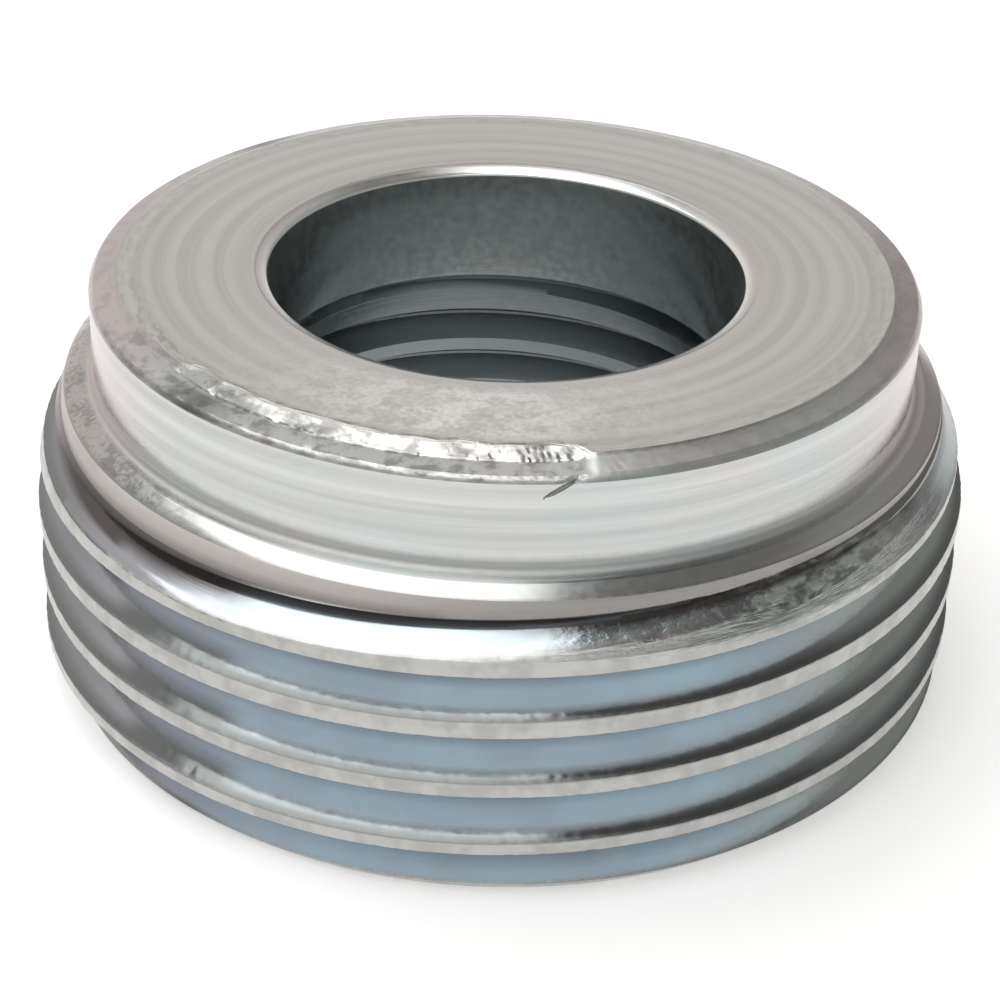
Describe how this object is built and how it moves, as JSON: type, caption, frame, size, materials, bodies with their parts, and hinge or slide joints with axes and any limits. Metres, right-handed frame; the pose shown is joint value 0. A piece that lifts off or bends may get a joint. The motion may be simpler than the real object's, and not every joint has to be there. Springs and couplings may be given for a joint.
{
  "type": "conduit reducing bushing",
  "caption": "Round zinc-plated steel bushing with a plain collar, a male pipe thread outside and a smaller female pipe thread inside, which joins a thin conduit to a larger hub.",
  "frame": {"origin": "centre of the flat bottom face, on the bore's axis", "axes": "+Z along the bore's axis, from the threaded foot up through the plain collar; -Y is the side that faces the viewer, near the end of the male thread's groove"},
  "size_m": [0.0332, 0.0332, 0.0151],
  "materials": {
    "zinc_plated_steel": "bright zinc plating over fine turning marks, satin, faintly blue in the thread grooves"
  },
  "bodies": {
    "root": {"reducer_body": "zinc_plated_steel"}
  },
  "joints": []
}
